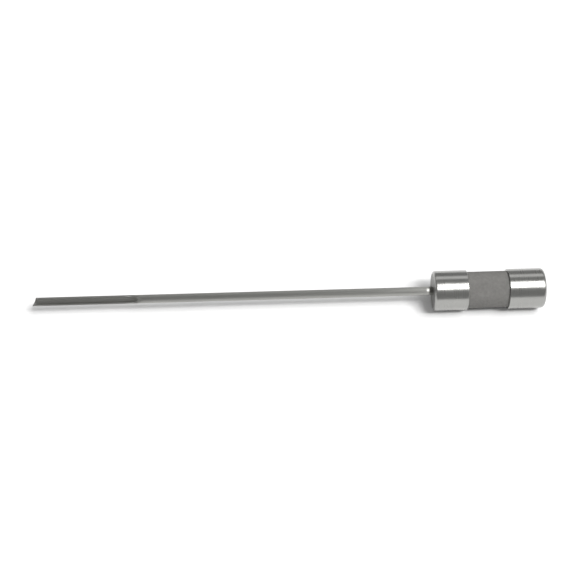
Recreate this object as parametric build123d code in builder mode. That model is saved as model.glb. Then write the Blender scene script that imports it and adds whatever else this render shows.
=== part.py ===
from build123d import *

import os
from math import cos, radians, sin, tan

# A probe-type fuel sampler: a long steel draw tube on a handle that hides the sample cup.
#
# The tool lies along X on the surface z = 0, with its probe tip at -X and its handle at +X.
# The origin is the middle of its footprint on that surface. Every piece is turned about one
# axis, which runs along X at the height of the polished bands' radius.
#
# The handle is a knurled barrel between two polished bands. The front band is the nose cap,
# which holds the probe tube in a gland. The rear band is the end cap, which screws off the
# barrel. Fuel runs down the probe into a clear cup that stands inside the barrel and the cap.
# Screw threads are plain cylinders of the thread's outer size, with a small radial clearance.

# ---- Driving dimensions, in millimetres ----

BAND_D = 22.0  # both polished bands
WAIST_D = 20.0  # over the knurl
NOSE_BAND = 18.5  # length of the front band
WAIST = 22.5  # length of the knurled part of the barrel
END_BAND = 20.0  # length of the rear band
PROBE_REACH = 221.5  # probe tip to nose face
PROBE_D = 4.76  # 3/16 inch tube
PROBE_WALL = 0.89  # 0.035 inch wall
PROBE_TAIL_RELIEF = 0.18  # radial, where the tail of the tube is turned down for the gland
PROBE_TAIL_SHOWS = 0.3  # length of the thinner tail in front of the nose face

# The open trough at the tip of the probe
TROUGH = 54.5  # length with half of the tube cut away
TROUGH_RAMP = 6.5  # run-out from the half depth to the full round tube
TROUGH_TURN = 45.0  # the trough faces this many degrees above the -Y side
TIP_SKEW = 25.0  # the end is cut this many degrees off square

# The nose cap and the probe's gland
NOSE_ROUND = 1.4  # outer edge of the front face
GLAND_D = 9.0
GLAND_FLOOR = 3.6  # thickness of the front face around the probe
GLAND_RING_SECTION = 1.8
FERRULE = 1.4  # thickness of the collar that is brazed to the tube
SPANNER_HOLE_D = 1.0
SPANNER_HOLE_DEPTH = 1.2
TUBE_BACK = 0.5  # the tube stops this far inside the gland nut
VENT_D = 1.0
VENT_AT = 5.4  # distance of the air vent from the axis
LOCK_SCREW_D = 2.5
LOCK_TURN = 215.0  # the lock screw points this many degrees round from the -Y side
LOCK_FROM_RIM = 2.6
LOCK_BITE = 0.7  # depth of the screw's seat in the barrel
LOCK_RECESS = 0.3
LOCK_KEY_R = 0.75  # corner radius of the screw's hexagon socket
LOCK_KEY_DEPTH = 1.1

# The barrel
THREAD_D = 18.0  # both spigots
BARREL_BORE_D = 14.6
FRONT_SPIGOT = 8.0
REAR_SPIGOT = 9.8
SPIGOT_CHAMFER = 0.6
GASKET = 1.0
BARREL_RING_SECTION = 1.1
BARREL_RING_AT = 1.9  # from the end cap's rim to the middle of the ring
BARREL_GROOVE = 1.3

# The sample cup, its boot and the end cap
CUP_D = 14.2
CUP_WALL = 0.9
CUP_FLOOR = 1.5
CUP_ROUND = 1.2  # outer edge of the floor
BOOT_WALL = 0.9
BOOT_PAD = 1.4  # thickness under the cup
BOOT_SLEEVE = 4.2  # depth of the cup's seat in the boot
CAP_SOCKET = 10.0  # depth of the end cap's thread
CAP_WALL = 3.0  # thickness of the rear face
CAP_ROUND = 1.8  # outer edge of the rear face

# Clearances and small edge breaks
FIT = 0.12  # radial, between threads and between sliding pieces
SEAT = 0.02  # between pieces that are clamped together
EDGE_BREAK = 0.35
FINE_BREAK = 0.2

# ---- Sizes and places that follow ----

BAND_R = BAND_D / 2
WAIST_R = WAIST_D / 2
THREAD_R = THREAD_D / 2
SOCKET_R = THREAD_R + FIT
PROBE_R = PROBE_D / 2
PROBE_BORE_R = PROBE_R - PROBE_WALL
TAIL_R = PROBE_R - PROBE_TAIL_RELIEF
PROBE_HOLE_R = TAIL_R + SEAT
GLAND_R = GLAND_D / 2
NUT_R = GLAND_R - FIT / 2
BARREL_BORE_R = BARREL_BORE_D / 2
BARREL_RING_R = THREAD_R + SEAT - BARREL_RING_SECTION  # floor of the ring's groove
CUP_R = CUP_D / 2
CUP_BORE_R = CUP_R - CUP_WALL
BOOT_R = CUP_R + FIT + BOOT_WALL

AXIS_Z = BAND_R
TIP_X = -(PROBE_REACH + NOSE_BAND + WAIST + END_BAND) / 2
NOSE_X = TIP_X + PROBE_REACH
SHANK_END_X = NOSE_X - PROBE_TAIL_SHOWS
NOSE_RIM_X = NOSE_X + NOSE_BAND
CAP_RIM_X = NOSE_RIM_X + WAIST
END_X = CAP_RIM_X + END_BAND
BARREL_FRONT_X = NOSE_RIM_X - FRONT_SPIGOT
BARREL_REAR_X = CAP_RIM_X + REAR_SPIGOT
BARREL_RING_X = CAP_RIM_X + BARREL_RING_AT
GASKET_X = BARREL_FRONT_X - GASKET  # floor of the nose cap's socket
GLAND_X = NOSE_X + GLAND_FLOOR
FERRULE_X = GLAND_X + GLAND_RING_SECTION + 2 * SEAT
NUT_X = FERRULE_X + FERRULE + SEAT
TUBE_END_X = GASKET_X - TUBE_BACK
BOOT_REAR_X = END_X - CAP_WALL - SEAT
CUP_END_X = BOOT_REAR_X - BOOT_PAD - SEAT
BOOT_RIM_X = CUP_END_X - BOOT_SLEEVE
LOCK_X = NOSE_RIM_X - LOCK_FROM_RIM
LOCK_SEAT_R = THREAD_R - LOCK_BITE

handle_axis = Axis((0, 0, AXIS_Z), (1, 0, 0))


def plane_along(turn):
    """A plane that holds the axis, with its Y direction at that turn above the -Y side."""
    angle = radians(turn)
    return Plane(origin=(0, 0, AXIS_Z), x_dir=(1, 0, 0), z_dir=(0, -sin(angle), -cos(angle)))


def plane_across(x):
    """The plane square to the axis at x, which looks towards the rear."""
    return Plane(origin=(x, 0, AXIS_Z), x_dir=(0, 1, 0), z_dir=(1, 0, 0))


def lock_plane(radius):
    """The plane square to the lock screw at that distance from the handle's axis."""
    angle = radians(LOCK_TURN)
    outward = Vector(0, -cos(angle), sin(angle))
    return Plane(origin=Vector(LOCK_X, 0, AXIS_Z) + outward * radius, z_dir=outward)


def rims(part, radius):
    """The circular edges of that radius round the axis, from front to rear."""
    circles = part.edges().filter_by(GeomType.CIRCLE)
    return circles.filter_by(lambda edge: abs(edge.radius - radius) < SEAT / 2).sort_by(Axis.X)


profile = plane_along(90)  # local X is the world's X, local Y is the distance from the axis

# ---- Probe tube ----

with BuildPart() as probe_tube:
    with BuildSketch(profile):
        with BuildLine():
            Polyline(
                (TIP_X, PROBE_BORE_R),
                (TIP_X, PROBE_R),
                (SHANK_END_X, PROBE_R),
                (SHANK_END_X, TAIL_R),
                (TUBE_END_X, TAIL_R),
                (TUBE_END_X, PROBE_BORE_R),
                close=True,
            )
        make_face()
    revolve(axis=handle_axis)
    # half of the tube is cut away behind the tip
    with BuildSketch(plane_along(TROUGH_TURN)):
        with BuildLine():
            Polyline(
                (TIP_X - 1, 0),
                (TIP_X + TROUGH, 0),
                (TIP_X + TROUGH + TROUGH_RAMP, PROBE_R),
                (TIP_X + TROUGH + TROUGH_RAMP, PROBE_D),
                (TIP_X - 1, PROBE_D),
                close=True,
            )
        make_face()
    extrude(amount=PROBE_D, both=True, mode=Mode.SUBTRACT)
    # the end is cut off at a slant
    with BuildSketch(plane_along(TROUGH_TURN + 90)):
        with BuildLine():
            Polyline(
                (TIP_X, -PROBE_R),
                (TIP_X + PROBE_D * tan(radians(TIP_SKEW)), PROBE_R),
                (TIP_X - 1, PROBE_R),
                (TIP_X - 1, -PROBE_R),
                close=True,
            )
        make_face()
    extrude(amount=PROBE_D, both=True, mode=Mode.SUBTRACT)

# ---- Gland: ring, ferrule and nut behind the nose cap's face ----

with BuildPart() as gland_seal:
    with BuildSketch(profile):
        half_section = GLAND_RING_SECTION / 2
        with Locations((GLAND_X + SEAT + half_section, PROBE_HOLE_R + half_section)):
            Circle(half_section)
    revolve(axis=handle_axis)

with BuildPart() as probe_ferrule:
    with BuildSketch(profile):
        with Locations((FERRULE_X, PROBE_HOLE_R)):
            Rectangle(FERRULE, NUT_R - PROBE_HOLE_R, align=Align.MIN)
    revolve(axis=handle_axis)
    chamfer(rims(probe_ferrule, NUT_R), length=FINE_BREAK)

with BuildPart() as gland_nut:
    with BuildSketch(profile):
        with Locations((NUT_X, PROBE_HOLE_R + FIT)):
            Rectangle(GASKET_X - NUT_X, NUT_R - PROBE_HOLE_R - FIT, align=Align.MIN)
    revolve(axis=handle_axis)
    chamfer(rims(gland_nut, NUT_R), length=FINE_BREAK)
    with Locations(plane_across(GASKET_X)):
        with PolarLocations((PROBE_R + GLAND_R) / 2, 2):
            Hole(SPANNER_HOLE_D / 2, SPANNER_HOLE_DEPTH)

# ---- Nose cap: the front polished band, with its lock screw and gasket ----

with BuildPart() as nose_cap:
    with BuildSketch(profile):
        with BuildLine():
            Polyline(
                (NOSE_X, PROBE_HOLE_R),
                (NOSE_X, BAND_R),
                (NOSE_RIM_X, BAND_R),
                (NOSE_RIM_X, SOCKET_R),
                (GASKET_X, SOCKET_R),
                (GASKET_X, GLAND_R),
                (GLAND_X, GLAND_R),
                (GLAND_X, PROBE_HOLE_R),
                close=True,
            )
        make_face()
    revolve(axis=handle_axis)
    front_edge, rim_edge = rims(nose_cap, BAND_R)
    fillet(front_edge, radius=NOSE_ROUND)
    chamfer(rim_edge, length=EDGE_BREAK)
    with Locations(plane_across(GASKET_X)):
        with Locations((0, VENT_AT)):
            Hole(VENT_D / 2, GASKET_X - NOSE_X)
    with Locations(lock_plane(BAND_R)):
        Hole(LOCK_SCREW_D / 2, BAND_R - LOCK_SEAT_R)

with BuildPart() as lock_screw:
    with BuildSketch(lock_plane(LOCK_SEAT_R + SEAT)):
        Circle(LOCK_SCREW_D / 2 - SEAT)
    extrude(amount=BAND_R - LOCK_RECESS - LOCK_SEAT_R)
    screw_axis = Axis((LOCK_X, 0, AXIS_Z), lock_plane(0).z_dir)
    point, head = lock_screw.faces().filter_by(GeomType.PLANE).sort_by(screw_axis)
    chamfer(point.edges(), length=FINE_BREAK)
    with BuildSketch(Plane(head)):
        RegularPolygon(radius=LOCK_KEY_R, side_count=6)
    extrude(amount=-LOCK_KEY_DEPTH, mode=Mode.SUBTRACT)

with BuildPart() as nose_gasket:
    with BuildSketch(profile):
        with Locations((GASKET_X + SEAT, CUP_BORE_R)):
            Rectangle(GASKET - 2 * SEAT, THREAD_R - CUP_BORE_R, align=Align.MIN)
    revolve(axis=handle_axis)

# ---- Barrel: the knurled waist with a threaded spigot at each end, and its ring ----

with BuildPart() as barrel:
    with BuildSketch(profile):
        with BuildLine():
            Polyline(
                (BARREL_FRONT_X, BARREL_BORE_R),
                (BARREL_FRONT_X, THREAD_R),
                (NOSE_RIM_X + SEAT, THREAD_R),
                (NOSE_RIM_X + SEAT, WAIST_R),
                (CAP_RIM_X, WAIST_R),
                (CAP_RIM_X, THREAD_R),
                (BARREL_REAR_X, THREAD_R),
                (BARREL_REAR_X, BARREL_BORE_R),
                close=True,
            )
        make_face()
        with Locations((BARREL_RING_X, BARREL_RING_R)):
            Rectangle(BARREL_GROOVE, BARREL_GROOVE, align=(Align.CENTER, Align.MIN), mode=Mode.SUBTRACT)
    revolve(axis=handle_axis)
    chamfer(rims(barrel, WAIST_R), length=EDGE_BREAK)
    spigot_edges = rims(barrel, THREAD_R)
    chamfer([spigot_edges[0], spigot_edges[-1]], length=SPIGOT_CHAMFER)
    with Locations(lock_plane(THREAD_R)):
        Hole(LOCK_SCREW_D / 2, LOCK_BITE)

with BuildPart() as barrel_seal:
    with BuildSketch(profile):
        with Locations((BARREL_RING_X, BARREL_RING_R + BARREL_RING_SECTION / 2)):
            Circle(BARREL_RING_SECTION / 2)
    revolve(axis=handle_axis)

# ---- Sample cup, the rubber boot under it, and the end cap ----

with BuildPart() as sample_cup:
    with BuildSketch(profile):
        with BuildLine():
            Polyline(
                (BARREL_FRONT_X + SEAT, CUP_BORE_R),
                (BARREL_FRONT_X + SEAT, CUP_R),
                (CUP_END_X, CUP_R),
                (CUP_END_X, 0),
                (CUP_END_X - CUP_FLOOR, 0),
                (CUP_END_X - CUP_FLOOR, CUP_BORE_R),
                close=True,
            )
        make_face()
    revolve(axis=handle_axis)
    fillet(rims(sample_cup, CUP_R)[-1], radius=CUP_ROUND)
    fillet(rims(sample_cup, CUP_BORE_R)[-1], radius=CUP_ROUND / 2)

with BuildPart() as cup_boot:
    with BuildSketch(profile):
        with BuildLine():
            Polyline(
                (BOOT_RIM_X, CUP_R + FIT),
                (BOOT_RIM_X, BOOT_R),
                (BOOT_REAR_X, BOOT_R),
                (BOOT_REAR_X, 0),
                (CUP_END_X + SEAT, 0),
                (CUP_END_X + SEAT, CUP_R + FIT),
                close=True,
            )
        make_face()
    revolve(axis=handle_axis)
    fillet(rims(cup_boot, BOOT_R)[-1], radius=BOOT_WALL / 2)

with BuildPart() as end_cap:
    with BuildSketch(profile):
        with BuildLine():
            Polyline(
                (CAP_RIM_X + SEAT, SOCKET_R),
                (CAP_RIM_X + SEAT, BAND_R),
                (END_X, BAND_R),
                (END_X, 0),
                (END_X - CAP_WALL, 0),
                (END_X - CAP_WALL, BOOT_R + FIT),
                (CAP_RIM_X + CAP_SOCKET, BOOT_R + FIT),
                (CAP_RIM_X + CAP_SOCKET, SOCKET_R),
                close=True,
            )
        make_face()
    revolve(axis=handle_axis)
    rim_edge, rear_edge = rims(end_cap, BAND_R)
    chamfer(rim_edge, length=EDGE_BREAK)
    fillet(rear_edge, radius=CAP_ROUND)
    chamfer(rims(end_cap, SOCKET_R)[0], length=EDGE_BREAK)

# ---- One file for each piece ----

pieces = {
    "probe_tube": probe_tube,
    "gland_seal": gland_seal,
    "probe_ferrule": probe_ferrule,
    "gland_nut": gland_nut,
    "nose_cap": nose_cap,
    "lock_screw": lock_screw,
    "nose_gasket": nose_gasket,
    "barrel": barrel,
    "barrel_seal": barrel_seal,
    "sample_cup": sample_cup,
    "cup_boot": cup_boot,
    "end_cap": end_cap,
}
os.makedirs("parts", exist_ok=True)
for name, piece in pieces.items():
    piece.part.label = name
    export_step(piece.part, f"parts/{name}.step")
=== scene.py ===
from math import cos, pi, radians, sin, tan

import bmesh
import bpy
import numpy as np
from mathutils import Matrix, Vector


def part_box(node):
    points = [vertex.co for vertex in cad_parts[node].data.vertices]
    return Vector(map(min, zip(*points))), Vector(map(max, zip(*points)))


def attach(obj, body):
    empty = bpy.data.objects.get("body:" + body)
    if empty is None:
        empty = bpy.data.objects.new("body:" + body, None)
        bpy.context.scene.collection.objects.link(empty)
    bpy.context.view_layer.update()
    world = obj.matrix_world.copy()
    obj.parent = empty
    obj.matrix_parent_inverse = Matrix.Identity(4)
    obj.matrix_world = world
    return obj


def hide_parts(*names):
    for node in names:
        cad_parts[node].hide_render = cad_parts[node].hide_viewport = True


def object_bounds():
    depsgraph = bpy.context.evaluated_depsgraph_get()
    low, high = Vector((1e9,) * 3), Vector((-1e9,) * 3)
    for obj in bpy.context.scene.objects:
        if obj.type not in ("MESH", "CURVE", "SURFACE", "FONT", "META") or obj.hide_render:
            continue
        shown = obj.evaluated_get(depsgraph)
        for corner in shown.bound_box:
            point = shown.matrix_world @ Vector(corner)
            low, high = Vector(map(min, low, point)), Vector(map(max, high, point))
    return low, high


# A probe-type fuel sampler. Nearly every piece is turned about the tool's axis, so the pieces are
# made in millimetres about the X axis, where an angle is measured from the -Y side towards the top.
# place() then puts each of them in the frame, in metres.

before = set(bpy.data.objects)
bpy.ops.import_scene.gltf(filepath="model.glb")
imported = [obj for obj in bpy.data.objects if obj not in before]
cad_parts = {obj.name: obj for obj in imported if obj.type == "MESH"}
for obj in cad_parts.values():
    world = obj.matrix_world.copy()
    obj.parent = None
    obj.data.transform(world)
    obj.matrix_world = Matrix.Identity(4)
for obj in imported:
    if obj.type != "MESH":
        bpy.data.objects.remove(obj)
cad_low, cad_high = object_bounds()

MM = 0.001
AXIS_Z = (cad_low.z + cad_high.z) / 2

# ---- Sizes, in millimetres ----


def span(node):
    """A CAD node's front end, rear end and outer radius."""
    low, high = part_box(node)
    return low.x / MM, high.x / MM, (high.z - low.z) / 2 / MM


TIP_X, TUBE_END_X, PROBE_R = span("probe_tube")
NOSE_X, NOSE_RIM_X, BAND_R = span("nose_cap")
BARREL_FRONT_X, BARREL_REAR_X, WAIST_R = span("barrel")
CAP_RIM_X, END_X, _ = span("end_cap")
CUP_X, CUP_END_X, CUP_R = span("sample_cup")
BOOT_X, BOOT_END_X, BOOT_R = span("cup_boot")

FIT = 0.12  # radial, between threads and between sliding pieces
SEAT = 0.02  # between pieces that are clamped together

PROBE_WALL = 0.89
SHANK_END_X = NOSE_X - 0.3  # behind it the tail of the tube is turned down a little
TAIL_R = PROBE_R - 0.18
TROUGH = 54.5  # length of the trough at its full depth
TROUGH_RAMP = 6.5  # run-out from there to the full round tube
TROUGH_TURN = 45.0  # angle of the side that the trough opens to
TIP_SKEW = 25.0  # angle of the cut end, off square
PROBE_HOLE_R = TAIL_R + SEAT
GLAND_R = 4.5
GLAND_X = NOSE_X + 3.6
SPANNER_R, SPANNER_DEPTH = 0.5, 1.2
VENT_R, VENT_AT = 0.5, 5.4
NOSE_ROUND = 1.4
LOCK_R, LOCK_TURN, LOCK_X = 1.25, 215.0, NOSE_RIM_X - 2.6
LOCK_SEAT_R = 8.3  # distance from the axis to the flat that the screw's point rests on
THREAD_R = 9.0
SOCKET_R = THREAD_R + FIT
BORE_R = 7.3
GASKET_X = BARREL_FRONT_X - 1.0
RING_X = CAP_RIM_X + 1.9
RING_GROOVE, RING_GROOVE_R = 1.3, 7.92
CAP_SOCKET = 10.0
CAP_FLOOR_X = END_X - 3.0
CAP_ROUND = 1.8
CUP_BORE_R = 6.2
CUP_FLOOR = 1.5
CUP_ROUND = 1.2

PITCH = 1.5
THREAD_DEPTH = 0.85
SOCKET_THREAD_DEPTH = 0.6
# where the flanks of a thread begin and end, as parts of its pitch
THREAD_PHASES = (0.0, 0.14, 0.46, 0.66, 1.0)
THREAD_CUT = (0.0, 0.0, 1.0, 1.0, 0.0)

KNURL_STARTS = 104  # grooves round the barrel, of each hand
KNURL_STEPS = 4  # mesh steps in one groove's width
KNURL_ANGLE = 30.0  # between the grooves and the axis
KNURL_DEPTH = 0.07
KNURL_CREST = 0.4  # height in a groove's section above which the diamonds are flat
BARREL_SEGMENTS = KNURL_STARTS * KNURL_STEPS

EDGE = 0.08  # small edge break on every machined corner
SUPPORT = 0.06  # keeps the shading of long faces flat up to their ends
PAST = 1.0  # cutters go this far past the surfaces that they cut
MERGE = 0.0005  # points closer than this become one
MERGE_CUT = 0.004  # the same where a cut's edge is about to be bevelled
SLIVER = 0.0001  # faces narrower than this are dissolved


# ---- Mesh tools ----


def outline(*corners, closed=True):
    """A profile of (x, radius) points. A corner's third value rounds it; EDGE is the default.

    A profile that isn't closed is left for other rings to complete.
    """
    arcs = []
    for i, corner in enumerate(corners):
        here = Vector(corner[:2])
        before = (Vector(corners[i - 1][:2]) - here).normalized()
        after = (Vector(corners[(i + 1) % len(corners)][:2]) - here).normalized()
        rounding = corner[2] if len(corner) > 2 else EDGE
        if rounding == 0:
            arcs.append([here])
            continue
        half = before.angle(after) / 2
        centre = here + (before + after).normalized() * (rounding / sin(half))
        start = here + before * (rounding / tan(half)) - centre
        stop = here + after * (rounding / tan(half)) - centre
        steps = 12 if rounding > 4 * EDGE else 4
        start, stop = start.normalized(), stop.normalized()
        arcs.append([centre + start.slerp(stop, k / steps) * rounding for k in range(steps + 1)])
    points = []
    for i, arc in enumerate(arcs):
        points += arc
        if i + 1 == len(arcs) and not closed:
            break
        following = arcs[(i + 1) % len(arcs)][0]
        run = following - arc[-1]
        if run.length > 6 * SUPPORT:
            step = run.normalized() * SUPPORT
            points += [arc[-1] + step, following - step]
    return np.array([[p.x, p.y] for p in points])


def cleaned(mesh):
    """The mesh with coincident points merged, faces of no area gone and its normals outward."""
    shape_of = bmesh.new()
    shape_of.from_mesh(mesh)
    bmesh.ops.remove_doubles(shape_of, verts=shape_of.verts, dist=MERGE)
    bmesh.ops.dissolve_degenerate(shape_of, edges=shape_of.edges, dist=SLIVER)
    bmesh.ops.recalc_face_normals(shape_of, faces=shape_of.faces)
    shape_of.to_mesh(mesh)
    shape_of.free()
    return mesh


def revolved(x, r, segments, knurled=None):
    """A closed surface through rings of points.

    x and r have a row for each ring, and one column, or one for each segment. Rings in the
    knurled range are joined by triangles whose edges follow the knurl's grooves.
    """
    shape = (len(x), segments)
    x, r = np.broadcast_to(x, shape), np.broadcast_to(r, shape)
    angle = np.arange(segments) * 2 * pi / segments
    points = np.stack([x, -r * np.cos(angle), r * np.sin(angle)], axis=-1).reshape(-1, 3)
    faces = []
    for i in range(len(x)):
        this, following = i * segments, (i + 1) % len(x) * segments
        for j in range(segments):
            k = (j + 1) % segments
            a, b, c, d = this + j, this + k, following + k, following + j
            if knurled is None or i not in knurled:
                faces.append((a, b, c, d))
            elif (j - (i - knurled.start)) % 2 == 0:
                faces += [(a, b, c), (a, c, d)]
            else:
                faces += [(a, b, d), (b, c, d)]
    mesh = bpy.data.meshes.new("revolved")
    mesh.from_pydata(points.tolist(), [], faces)
    return cleaned(mesh)


def lathe(profile, segments):
    """A turned piece from a closed profile."""
    return revolved(profile[:, :1], profile[:, 1:], segments)


def thread(start, stop, radius, depth, segments):
    """Rings of a helical groove from start to stop, which follow the edges of its flanks.

    A negative depth cuts outward, for a thread in a socket. Returns the rings' x and r.
    """
    angle = np.arange(segments) / segments
    spare = 3  # turns past each end, so that every ring of the stretch is there
    turns = range(int(start / PITCH) - spare, int(stop / PITCH) + spare)
    rows = [turn + p for turn in turns for p in THREAD_PHASES[:-1]]
    # rings beyond an end fall together there, so that they merge
    x = np.clip((np.array(rows)[:, None] + angle) * PITCH, start, stop)
    along = (x / PITCH - angle) % 1.0
    return x, radius - depth * np.interp(along, THREAD_PHASES, THREAD_CUT)


def prism(points, turn, half_width):
    """A cutter: a polygon in the plane that holds the axis and that turn, made thick both ways."""
    up = Vector((0, -cos(radians(turn)), sin(radians(turn))))
    side = Vector((1, 0, 0)).cross(up)
    count = len(points)
    corners = [
        Vector((x, 0, 0)) + up * h + side * w
        for w in (-half_width, half_width)
        for x, h in points
    ]
    faces = [tuple(range(count)), tuple(range(2 * count - 1, count - 1, -1))]
    faces += [(i, (i + 1) % count, count + (i + 1) % count, count + i) for i in range(count)]
    mesh = bpy.data.meshes.new("prism")
    mesh.from_pydata(corners, [], faces)
    return mesh


def peg(start, stop, radius, sides=48):
    """A cutter: a round or many-sided peg from one point to another."""
    start, stop = Vector(start), Vector(stop)
    shape_of = bmesh.new()
    turn = (stop - start).to_track_quat("Z", "Y").to_matrix().to_4x4()
    bmesh.ops.create_cone(
        shape_of,
        cap_ends=True,
        segments=sides,
        radius1=radius,
        radius2=radius,
        depth=(stop - start).length,
        matrix=Matrix.Translation((start + stop) / 2) @ turn,
    )
    mesh = bpy.data.meshes.new("peg")
    shape_of.to_mesh(mesh)
    shape_of.free()
    return mesh


def cut(mesh, *cutters, bevel=0.0):
    """The mesh without its cutters, with its cut edges broken by a small bevel."""
    piece = bpy.data.objects.new("cut", mesh)
    bpy.context.collection.objects.link(piece)
    tools = []
    for cutter in cutters:
        tool = bpy.data.objects.new("cutter", cutter)
        bpy.context.collection.objects.link(tool)
        tools.append(tool)
        modifier = piece.modifiers.new("cut", "BOOLEAN")
        modifier.solver = "EXACT"
        modifier.object = tool
    if bevel:
        modifier = piece.modifiers.new("weld", "WELD")
        modifier.merge_threshold = MERGE_CUT
        modifier = piece.modifiers.new("edges", "BEVEL")
        modifier.width = bevel
        modifier.segments = 2
        modifier.limit_method = "ANGLE"
        modifier.angle_limit = radians(40)
        modifier.use_clamp_overlap = False
    depsgraph = bpy.context.evaluated_depsgraph_get()
    result = bpy.data.meshes.new_from_object(piece.evaluated_get(depsgraph))
    for made in (piece, *tools):
        bpy.data.objects.remove(made)
    return cleaned(result)


def place(name, mesh, body, material, node=None, sharp=26.0):
    """Puts a finished mesh in the frame as a piece that rides on a body and stands for a CAD node."""
    mesh.transform(Matrix.Translation((0, 0, AXIS_Z)) @ Matrix.Scale(MM, 4))
    mesh.shade_smooth()
    mesh.set_sharp_from_angle(angle=radians(sharp))
    mesh.materials.clear()
    mesh.materials.append(material)
    piece = bpy.data.objects.new(name, mesh)
    bpy.context.collection.objects.link(piece)
    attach(piece, body)
    if node:
        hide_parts(node)
    return piece


def face_off(piece, x, material):
    """Gives the piece's flat face at x a material of its own."""
    piece.data.materials.append(material)
    for face in piece.data.polygons:
        if abs(face.center.x - x * MM) < 0.001 * MM:
            face.material_index = 1


# ---- Materials ----


NOISE_RANGE = 0.3, 0.7  # where nearly all of a noise texture's values lie


class Finish:
    """A material that is built up node by node round one Principled shader."""

    def __init__(self, name, **sockets):
        self.material = bpy.data.materials.new(name)
        self.material.use_nodes = True
        self.nodes = self.material.node_tree.nodes
        self.links = self.material.node_tree.links
        self.shader = self.nodes["Principled BSDF"]
        self.place = self.nodes.new("ShaderNodeTexCoord").outputs["Object"]
        self.height = None
        for socket, value in sockets.items():
            self.shader.inputs[socket.replace("_", " ")].default_value = value

    def noise(self, scale, detail=3.0):
        """Noise in the object's own space. scale is features per metre along X, Y and Z."""
        mapping = self.nodes.new("ShaderNodeMapping")
        mapping.inputs["Scale"].default_value = scale
        texture = self.nodes.new("ShaderNodeTexNoise")
        texture.inputs["Scale"].default_value = 1.0
        texture.inputs["Detail"].default_value = detail
        self.links.new(self.place, mapping.inputs["Vector"])
        self.links.new(mapping.outputs["Vector"], texture.inputs["Vector"])
        return texture.outputs["Fac"]

    def rings(self, scale):
        """Noise that is the same all round the axis. scale is features per metre of radius."""
        mapping = self.nodes.new("ShaderNodeMapping")
        mapping.inputs["Location"].default_value = (0, 0, -AXIS_Z)
        mapping.inputs["Scale"].default_value = (0, 1, 1)
        radius = self.nodes.new("ShaderNodeVectorMath")
        radius.operation = "LENGTH"
        texture = self.nodes.new("ShaderNodeTexNoise")
        texture.noise_dimensions = "1D"
        texture.inputs["Scale"].default_value = scale
        texture.inputs["Detail"].default_value = 2.0
        self.links.new(self.place, mapping.inputs["Vector"])
        self.links.new(mapping.outputs["Vector"], radius.inputs[0])
        self.links.new(radius.outputs["Value"], texture.inputs["W"])
        return texture.outputs["Fac"]

    def drive(self, socket, source, low, high):
        """Makes a socket follow a noise, from low to high."""
        spread = self.nodes.new("ShaderNodeMapRange")
        spread.inputs["From Min"].default_value, spread.inputs["From Max"].default_value = NOISE_RANGE
        spread.inputs["To Min"].default_value = low
        spread.inputs["To Max"].default_value = high
        self.links.new(source, spread.inputs["Value"])
        self.links.new(spread.outputs["Result"], self.shader.inputs[socket])

    def tint(self, source, low, high):
        """Makes the base colour follow a noise, between two colours."""
        mix = self.nodes.new("ShaderNodeMix")
        mix.data_type = "RGBA"
        mix.inputs["A"].default_value = (*low, 1.0)
        mix.inputs["B"].default_value = (*high, 1.0)
        self.links.new(source, mix.inputs["Factor"])
        self.links.new(mix.outputs["Result"], self.shader.inputs["Base Color"])

    def bump(self, source, depth):
        """Adds a bump of that depth, in metres, on top of those before it."""
        node = self.nodes.new("ShaderNodeBump")
        node.inputs["Distance"].default_value = depth
        node.inputs["Strength"].default_value = 1.0
        self.links.new(source, node.inputs["Height"])
        if self.height:
            self.links.new(self.height, node.inputs["Normal"])
        self.height = node.outputs["Normal"]
        self.links.new(self.height, self.shader.inputs["Normal"])

    def grain(self, amount, rotation):
        """Stretches the gloss round the axis, or along it where rotation is a quarter."""
        tangent = self.nodes.new("ShaderNodeTangent")
        tangent.direction_type = "RADIAL"
        tangent.axis = "X"
        self.links.new(tangent.outputs["Tangent"], self.shader.inputs["Tangent"])
        self.shader.inputs["Anisotropic"].default_value = amount
        self.shader.inputs["Anisotropic Rotation"].default_value = rotation


def turned_steel(name, low, high, rough_low, rough_high):
    """Stainless steel from a lathe: fine rings round the axis, soft patches from handling."""
    steel = Finish(name, Metallic=1.0)
    steel.tint(steel.noise((90, 90, 90)), low, high)
    steel.drive("Roughness", steel.noise((1500, 60, 60)), rough_low, rough_high)
    steel.bump(steel.noise((2600, 12, 12), detail=2.0), 0.7e-6)
    steel.bump(steel.noise((350, 200, 200), detail=2.0), 0.6e-6)
    steel.grain(0.75, 0.25)
    return steel.material


def shaded_faced_steel():
    """The end faces, as the facing tool left them: duller than the bands, with rings round the axis.
    Their base colour, darker than the bands', is painted shade.
    """
    steel = Finish("shaded_faced_steel", Metallic=1.0)
    # the darker base colour is painted shade on the end faces; the rings in it are the faced finish
    steel.tint(steel.rings(900), (0.25, 0.25, 0.242), (0.31, 0.31, 0.3))
    steel.drive("Roughness", steel.rings(2500), 0.42, 0.52)
    steel.bump(steel.rings(9000), 2.5e-6)
    steel.bump(steel.noise((2500, 2500, 2500)), 0.8e-6)
    return steel.material


def drawn_steel():
    """Stainless tube: fine lines along its length."""
    steel = Finish("drawn_steel", Metallic=1.0)
    steel.tint(steel.noise((30, 400, 400)), (0.37, 0.37, 0.352), (0.43, 0.43, 0.41))
    steel.drive("Roughness", steel.noise((60, 900, 900)), 0.32, 0.38)
    steel.bump(steel.noise((40, 2600, 2600), detail=2.0), 0.8e-6)
    steel.bump(steel.noise((500, 900, 900), detail=4.0), 0.6e-6)
    steel.grain(0.95, 0.0)
    return steel.material


def knurled_steel():
    """Bead-blasted knurl: matt, with a fine grain."""
    steel = Finish("knurled_steel", Metallic=1.0)
    steel.tint(steel.noise((140, 140, 140)), (0.25, 0.246, 0.236), (0.29, 0.285, 0.275))
    steel.drive("Roughness", steel.noise((700, 700, 700)), 0.72, 0.82)
    steel.bump(steel.noise((16000, 16000, 16000), detail=2.0), 3.0e-6)
    return steel.material


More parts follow.
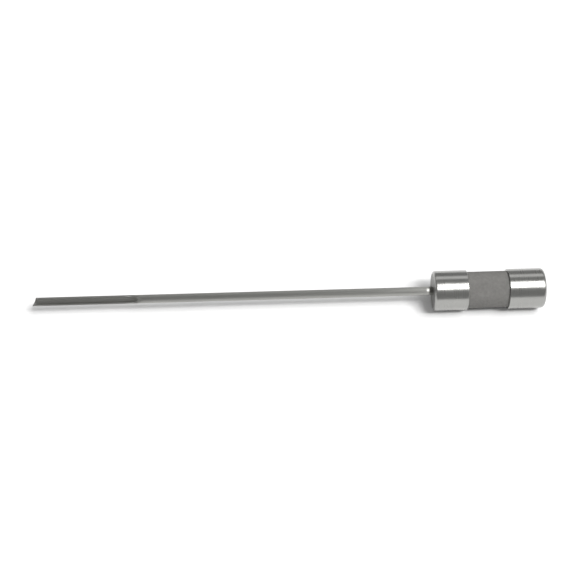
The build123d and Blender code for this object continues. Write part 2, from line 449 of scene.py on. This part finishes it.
def rubber(name, colour, sheen):
    """Moulded rubber: fine grain and a little dust."""
    seal = Finish(name, Sheen_Weight=sheen, IOR=1.5)
    light = tuple(c * 1.6 + 0.01 for c in colour)
    seal.tint(seal.noise((500, 500, 500), detail=5.0), colour, light)
    seal.drive("Roughness", seal.noise((900, 900, 900)), 0.5, 0.7)
    seal.bump(seal.noise((12000, 12000, 12000)), 4.0e-6)
    return seal.material


def machined_brass():
    """Brass with turned rings."""
    brass = Finish("machined_brass", Metallic=1.0)
    brass.tint(brass.noise((300, 300, 300)), (0.70, 0.50, 0.22), (0.80, 0.60, 0.30))
    brass.drive("Roughness", brass.noise((500, 500, 500)), 0.22, 0.36)
    brass.bump(brass.noise((12000, 200, 200), detail=2.0), 1.5e-6)
    return brass.material


def black_oxide():
    """Blackened steel, worn a little lighter in patches."""
    steel = Finish("black_oxide", Metallic=0.8)
    steel.tint(steel.noise((2500, 2500, 2500)), (0.03, 0.03, 0.035), (0.08, 0.08, 0.085))
    steel.drive("Roughness", steel.noise((3000, 3000, 3000)), 0.3, 0.5)
    steel.bump(steel.noise((14000, 14000, 14000)), 2.0e-6)
    return steel.material


def clear_plastic():
    """Clear moulded plastic with faint rubbed scratches along the cup."""
    clear = Finish("clear_plastic", Transmission_Weight=1.0, IOR=1.49)
    clear.tint(clear.noise((60, 60, 60)), (0.93, 0.97, 0.97), (0.97, 0.99, 0.99))
    clear.drive("Roughness", clear.noise((300, 2500, 2500)), 0.02, 0.07)
    clear.bump(clear.noise((200, 5000, 5000), detail=1.0), 0.4e-6)
    return clear.material


def ink():
    """Matt ink of the printed marks."""
    printed = Finish("printed_ink")
    printed.tint(printed.noise((4000, 4000, 4000)), (0.02, 0.03, 0.05), (0.05, 0.06, 0.08))
    printed.drive("Roughness", printed.noise((5000, 5000, 5000)), 0.5, 0.7)
    return printed.material


band_steel = turned_steel("band_steel", (0.365, 0.365, 0.352), (0.405, 0.405, 0.39), 0.26, 0.34)
shaded_end_steel = shaded_faced_steel()
tube_steel = drawn_steel()
waist_steel = knurled_steel()
black_rubber = rubber("black_rubber", (0.018, 0.018, 0.018), 0.1)
green_rubber = rubber("green_rubber", (0.05, 0.12, 0.06), 0.05)
brass = machined_brass()
screw_steel = black_oxide()
clear = clear_plastic()
mark_ink = ink()

# ---- Probe ----


def probe_tube():
    """The tube, with its trough, the ramp behind it and its slanted end cut away."""
    rings = 60
    segments = 60  # the trough's edges then fall halfway between two rows of points
    shank = np.linspace(TIP_X, SHANK_END_X, rings)
    step = 0.02  # length of the slope down to the tail
    tail = np.array([SHANK_END_X + step, TUBE_END_X])
    inside = np.linspace(TUBE_END_X, TIP_X, rings)
    x = np.concatenate([shank, tail, inside])[:, None]
    radii = np.repeat([PROBE_R, TAIL_R, PROBE_R - PROBE_WALL], [rings, len(tail), rings])
    slope = PROBE_R / TROUGH_RAMP
    trough = prism(
        [
            (TIP_X - PAST, 0),
            (TIP_X + TROUGH, 0),
            (TIP_X + TROUGH + TROUGH_RAMP + PAST, PROBE_R + slope * PAST),
            (TIP_X - PAST, PROBE_R + slope * PAST),
        ],
        TROUGH_TURN,
        2 * PROBE_R,
    )
    skew = tan(radians(TIP_SKEW))
    tip = prism(
        [
            (TIP_X - PAST * skew, -PROBE_R - PAST),
            (TIP_X + (2 * PROBE_R + PAST) * skew, PROBE_R + PAST),
            (TIP_X - 2 * PAST, PROBE_R + PAST),
            (TIP_X - 2 * PAST, -PROBE_R - PAST),
        ],
        TROUGH_TURN + 90,
        2 * PROBE_R,
    )
    return cut(revolved(x, radii[:, None], segments), trough, tip, bevel=0.07)


place("probe_tube.made", probe_tube(), "handle", tube_steel, "probe_tube")


def seal_ring(node):
    """A moulded ring of round section that fills a CAD ring's box."""
    front, rear, outer = span(node)
    section = (rear - front) / 2
    turn = np.linspace(0, 2 * pi, 32, endpoint=False)[:, None]
    x = (front + rear) / 2 + section * np.cos(turn)
    r = outer - section + section * np.sin(turn)
    return revolved(x, r, 128)


def flat_ring(node, inner, edge, segments):
    """A flat ring as long and as wide as a CAD node. edge rounds its outer corners."""
    front, rear, outer = span(node)
    corners = (front, inner), (front, outer, edge), (rear, outer, edge), (rear, inner)
    return lathe(outline(*corners), segments)


place("gland_seal.made", seal_ring("gland_seal"), "handle", green_rubber, "gland_seal")

ferrule = flat_ring("probe_ferrule", PROBE_HOLE_R, 0.2, 96)
place("probe_ferrule.made", ferrule, "handle", tube_steel, "probe_ferrule")


def gland_nut():
    """The nut's ring, with two spanner holes in its rear face."""
    _, rear, _ = span("gland_nut")
    out = (PROBE_R + GLAND_R) / 2
    holes = [
        peg((rear - SPANNER_DEPTH, side, 0), (rear + PAST, side, 0), SPANNER_R, sides=24)
        for side in (-out, out)
    ]
    return cut(flat_ring("gland_nut", PROBE_HOLE_R + FIT, 0.2, 96), *holes, bevel=0.04)


place("gland_nut.made", gland_nut(), "handle", brass, "gland_nut")

# ---- Nose cap, lock screw and gasket ----

lock_out = Vector((0, -cos(radians(LOCK_TURN)), sin(radians(LOCK_TURN))))
lock_foot = Vector((LOCK_X, 0, 0))


def lock_hole():
    """A cutter for the lock screw's hole, which goes through the nose cap into the barrel."""
    return peg(lock_foot + lock_out * LOCK_SEAT_R, lock_foot + lock_out * (BAND_R + PAST), LOCK_R)


nose = cut(
    lathe(
        outline(
            (NOSE_X, PROBE_HOLE_R, 0.2),
            (NOSE_X, BAND_R, NOSE_ROUND),
            (NOSE_RIM_X, BAND_R, 0.3),
            (NOSE_RIM_X, SOCKET_R, 0.2),
            (GASKET_X, SOCKET_R),
            (GASKET_X, GLAND_R),
            (GLAND_X, GLAND_R),
            (GLAND_X, PROBE_HOLE_R),
        ),
        256,
    ),
    peg((NOSE_X - PAST, 0, VENT_AT), (GASKET_X + PAST, 0, VENT_AT), VENT_R),
    lock_hole(),
    bevel=0.06,
)
nose_piece = place("nose_cap.made", nose, "handle", band_steel, "nose_cap")
# the flat front face takes the darker steel: painted shade
face_off(nose_piece, NOSE_X, shaded_end_steel)


def lock_screw():
    """A grub screw: its thread's ridges, a flat point and a hexagon socket."""
    foot, head, radius = LOCK_SEAT_R + SEAT, BAND_R - 0.3, LOCK_R - SEAT
    pitch, depth, rounding = 0.45, 0.16, 0.02
    point, rim = 0.3, 0.1  # chamfers at its point and its head
    key_r, key_depth = 0.75, 1.1
    corners = [(foot, 0, 0), (foot, radius - point)]
    at = foot + point
    while at + pitch < head - rim:
        corners += [(at, radius, rounding), (at + pitch / 2, radius - depth, rounding)]
        at += pitch
    corners += [(at, radius, rounding), (head - rim, radius, rounding)]
    corners += [(head, radius - 1.5 * rim, rounding), (head, 0, 0)]
    key = peg((head - key_depth, 0, 0), (head + PAST, 0, 0), key_r, sides=6)
    body = cut(lathe(outline(*corners), 64), key)
    turn = lock_out.to_track_quat("X", "Y").to_matrix().to_4x4()
    body.transform(Matrix.Translation(lock_foot) @ turn)
    return body


place("lock_screw.made", lock_screw(), "handle", screw_steel, "lock_screw")

gasket = flat_ring("nose_gasket", CUP_BORE_R, EDGE, 128)
place("nose_gasket.made", gasket, "handle", green_rubber, "nose_gasket")

# ---- Barrel ----


def barrel():
    """Both threaded spigots, the knurled waist between them and the bore, as one closed surface."""
    n = BARREL_SEGMENTS
    chamfer = 0.6  # where a thread begins, at the end of a spigot
    soft = 0.1  # edge break of the waist and the bore
    rows = []

    def plain(*points):
        for x, r in points:
            rows.append((np.full(n, x), np.full(n, r)))

    def threaded(start, stop, tapered_start=0.0, tapered_stop=0.0):
        """A thread, with a chamfer where it is tapered and a run-out at its other end."""
        x, r = thread(start, stop, THREAD_R, THREAD_DEPTH, n)
        taper = np.minimum(
            THREAD_R - np.clip(start + tapered_start - x, 0, None),
            THREAD_R - np.clip(x - stop + tapered_stop, 0, None),
        )
        fade = np.ones_like(x)
        if not tapered_start:
            fade = np.minimum(fade, np.clip((x - start) / (PITCH / 2), 0, 1))
        if not tapered_stop:
            fade = np.minimum(fade, np.clip((stop - x) / (PITCH / 2), 0, 1))
        r = np.minimum(THREAD_R - (THREAD_R - r) * fade, taper)
        rows.extend(zip(x, r))

    plain((BARREL_FRONT_X, BORE_R + soft), (BARREL_FRONT_X, BORE_R + 2 * soft))
    threaded(BARREL_FRONT_X, NOSE_RIM_X - 0.8, tapered_start=chamfer)
    shoulder = NOSE_RIM_X + SEAT
    edge_r = WAIST_R - soft
    plain((shoulder, THREAD_R), (shoulder, edge_r - soft), (shoulder + soft, edge_r))
    knurl_start = len(rows)
    groove = 2 * pi * WAIST_R / KNURL_STARTS
    step = groove / tan(radians(KNURL_ANGLE)) / KNURL_STEPS
    start, stop = shoulder + 2 * soft, CAP_RIM_X - 2 * soft
    count = int((stop - start) / step)
    across = np.arange(n)
    for i in range(count + 1):
        x = start + (stop - start) * i / count
        left = np.abs(2 * (((across + i) / KNURL_STEPS) % 1.0) - 1)
        right = np.abs(2 * (((across - i) / KNURL_STEPS) % 1.0) - 1)
        height = np.minimum(np.minimum(left, right), KNURL_CREST) / KNURL_CREST
        ends = min(1.0, min(i, count - i) / 2)
        rows.append((np.full(n, x), edge_r + (soft - KNURL_DEPTH * (1 - height)) * ends))
    knurled = range(knurl_start, len(rows) - 1)
    plain((CAP_RIM_X - soft, edge_r), (CAP_RIM_X, edge_r - soft), (CAP_RIM_X, THREAD_R))
    lip = 0.05  # edge break of the seal's groove
    front, rear = RING_X - RING_GROOVE / 2, RING_X + RING_GROOVE / 2
    plain((front - lip, THREAD_R), (front, THREAD_R - lip), (front, RING_GROOVE_R))
    plain((rear, RING_GROOVE_R), (rear, THREAD_R - lip), (rear + lip, THREAD_R))
    threaded(rear + 2 * lip, BARREL_REAR_X, tapered_stop=chamfer)
    plain((BARREL_REAR_X, BORE_R + 2 * soft), (BARREL_REAR_X, BORE_R + soft))
    plain((BARREL_REAR_X - soft, BORE_R))
    for x in np.linspace(BARREL_REAR_X - 2 * soft, BARREL_FRONT_X + 2 * soft, 12):
        plain((x, BORE_R))
    plain((BARREL_FRONT_X + soft, BORE_R))
    x, r = zip(*rows)
    return cut(revolved(np.array(x), np.array(r), n, knurled), lock_hole())


place("barrel.made", barrel(), "handle", waist_steel, "barrel", sharp=24)
place("barrel_seal.made", seal_ring("barrel_seal"), "handle", black_rubber, "barrel_seal")

# ---- Sample cup and its marks ----

cup = lathe(
    outline(
        (CUP_X, CUP_BORE_R, 0.3),
        (CUP_X, CUP_R, 0.3),
        (CUP_END_X, CUP_R, CUP_ROUND),
        (CUP_END_X, 0, 0),
        (CUP_END_X - CUP_FLOOR, 0, 0),
        (CUP_END_X - CUP_FLOOR, CUP_BORE_R, CUP_ROUND / 2),
    ),
    192,
)
place("sample_cup.made", cup, "cup", clear, "sample_cup")


def cup_marks():
    """A printed line for each half millilitre, longer at the whole ones, joined as one mesh."""
    per_ml = 1000 / (pi * CUP_BORE_R**2)
    inner, outer = CUP_R + 0.005, CUP_R + 0.03
    steps = 24
    marks = bmesh.new()
    for half_ml in range(1, 11):
        x = CUP_END_X - CUP_FLOOR - per_ml * half_ml / 2
        whole = half_ml % 2 == 0
        reach = radians(34 if whole else 18)
        half_width = 0.14 if whole else 0.1
        left, right = x - half_width, x + half_width
        corners = [(left, inner), (right, inner), (right, outer), (left, outer)]
        rings = []
        for k in range(steps + 1):
            angle = -reach + 2 * reach * k / steps
            points = [(px, -r * cos(angle), r * sin(angle)) for px, r in corners]
            rings.append([marks.verts.new(point) for point in points])
        for a, b in zip(rings, rings[1:]):
            for i in range(4):
                marks.faces.new((a[i], a[(i + 1) % 4], b[(i + 1) % 4], b[i]))
        marks.faces.new(rings[0])
        marks.faces.new(rings[-1])
    bmesh.ops.recalc_face_normals(marks, faces=marks.faces)
    mesh = bpy.data.meshes.new("cup_marks")
    marks.to_mesh(mesh)
    marks.free()
    return mesh


place("cup_marks", cup_marks(), "cup", mark_ink)

# ---- Boot and end cap ----


def cup_boot():
    """A rubber boot with three soft ribs inside its sleeve."""
    seat = CUP_END_X + SEAT
    wall = CUP_R + FIT
    corners = [
        (BOOT_X, wall, 0.15),
        (BOOT_X, BOOT_R, 0.2),
        (BOOT_END_X, BOOT_R, 0.45),
        (BOOT_END_X, 0, 0),
        (seat, 0, 0),
        (seat, wall, 0.1),
    ]
    rib_half, rib_height = 0.3, 0.08
    for k in (3, 2, 1):
        x = BOOT_X + (seat - BOOT_X) * k / 4
        corners += [
            (x + rib_half, wall, 0.1),
            (x, wall - rib_height, 0.2),
            (x - rib_half, wall, 0.1),
        ]
    return lathe(outline(*corners), 160)


place("cup_boot.made", cup_boot(), "boot", black_rubber, "cup_boot")


def end_cap():
    """The rear band: a plain turned outside, a thread in its socket and a bore for the boot."""
    n = 256
    lead_in = 0.3  # chamfer at the socket's mouth
    socket_end = CAP_RIM_X + CAP_SOCKET
    start, stop = CAP_RIM_X + 3.2, socket_end - 1.0  # of the thread, behind a land for the seal
    outside = outline(
        (CAP_RIM_X, SOCKET_R + lead_in, 0),
        (CAP_RIM_X, BAND_R, 0.15),
        (END_X, BAND_R, CAP_ROUND),
        (END_X, 0, 0),
        (CAP_FLOOR_X, 0, 0),
        (CAP_FLOOR_X, BOOT_R + FIT),
        (socket_end, BOOT_R + FIT),
        (socket_end, SOCKET_R),
        (stop, SOCKET_R, 0),
        closed=False,
    )
    x, r = thread(start, stop, SOCKET_R, -SOCKET_THREAD_DEPTH, n)
    fade = np.clip(np.minimum(x - start, stop - x) / (PITCH / 2), 0, 1)
    r = SOCKET_R + (r - SOCKET_R) * fade
    land = np.array([[start, SOCKET_R], [CAP_RIM_X + lead_in, SOCKET_R]])

    def full(column):
        return np.repeat(column, n, axis=1)

    rings_x = np.concatenate([full(outside[:, :1]), x[::-1], full(land[:, :1])])
    rings_r = np.concatenate([full(outside[:, 1:]), r[::-1], full(land[:, 1:])])
    return revolved(rings_x, rings_r, n)


end_piece = place("end_cap.made", end_cap(), "cap", band_steel, "end_cap")
# the flat rear face takes the same darker steel: painted shade
face_off(end_piece, END_X, shaded_end_steel)

# ---- Floor, light and camera ----


FLOOR_SIZE = 60.0
LIGHT_DISTANCE = 12.0
SURROUNDINGS = 0.33  # grey of the room round the floor


def floor():
    """A sheet of white paper, wide enough that its edge is far from the object in every view."""
    bpy.ops.mesh.primitive_plane_add(size=FLOOR_SIZE)
    plane = bpy.context.object
    plane.name = "floor"
    paper = Finish("paper", Specular_IOR_Level=0.1)
    paper.tint(paper.noise((3, 3, 3)), (0.84, 0.84, 0.84), (0.86, 0.86, 0.86))
    paper.drive("Roughness", paper.noise((40, 40, 40)), 0.85, 0.95)
    plane.data.materials.append(paper.material)


def soft_light(name, elevation, to_right, high, wide, radiance):
    """A rectangular soft light that faces the object.

    Its place and its size are angles seen from the object. elevation is above the camera's side
    of the floor, and is more than 90 behind the object.
    """
    in_plane = Vector((0, -cos(radians(elevation)), sin(radians(elevation))))
    right = Vector((1, 0, 0))
    tilt = radians(to_right)
    outward = in_plane * cos(tilt) + right * sin(tilt)
    across = right * cos(tilt) - in_plane * sin(tilt)
    data = bpy.data.lights.new(name, "AREA")
    data.shape = "RECTANGLE"
    data.size = 2 * LIGHT_DISTANCE * tan(radians(wide / 2))
    data.size_y = 2 * LIGHT_DISTANCE * tan(radians(high / 2))
    data.energy = radiance * pi * data.size * data.size_y
    light = bpy.data.objects.new(name, data)
    turn = Matrix((across, outward.cross(across), outward)).transposed()
    light.matrix_world = Matrix.Translation(outward * LIGHT_DISTANCE) @ turn.to_4x4()
    bpy.context.collection.objects.link(light)


floor()
soft_light("key_light", elevation=81.5, to_right=26, high=20, wide=26, radiance=10.3)
soft_light("low_light", elevation=67, to_right=26, high=9, wide=26, radiance=27.0)
soft_light("back_light", elevation=133, to_right=0, high=20, wide=70, radiance=0.8)

world = bpy.data.worlds.new("studio")
world.use_nodes = True
grey = (SURROUNDINGS, SURROUNDINGS, SURROUNDINGS, 1)
world.node_tree.nodes["Background"].inputs["Color"].default_value = grey
bpy.context.scene.world = world

VIEW_AZIMUTH, VIEW_ELEVATION, VIEW_ROLL = -0.63, 53.0, -1.11
VIEW_DISTANCE, VIEW_LENS = 0.610, 69.3
VIEW_AIM = Vector((0.0002, 0.0011, AXIS_Z + 0.0049))

azimuth, elevation = radians(VIEW_AZIMUTH), radians(VIEW_ELEVATION)
back = Vector((sin(azimuth) * cos(elevation), -cos(azimuth) * cos(elevation), sin(elevation)))
lens = bpy.data.cameras.new("camera")
lens.lens = VIEW_LENS
camera = bpy.data.objects.new("camera", lens)
bpy.context.collection.objects.link(camera)
camera.matrix_world = (
    Matrix.Translation(VIEW_AIM + back * VIEW_DISTANCE)
    @ (-back).to_track_quat("-Z", "Y").to_matrix().to_4x4()
    @ Matrix.Rotation(radians(VIEW_ROLL), 4, "Z")
)
bpy.context.scene.camera = camera
bpy.context.scene.view_settings.view_transform = "Standard"
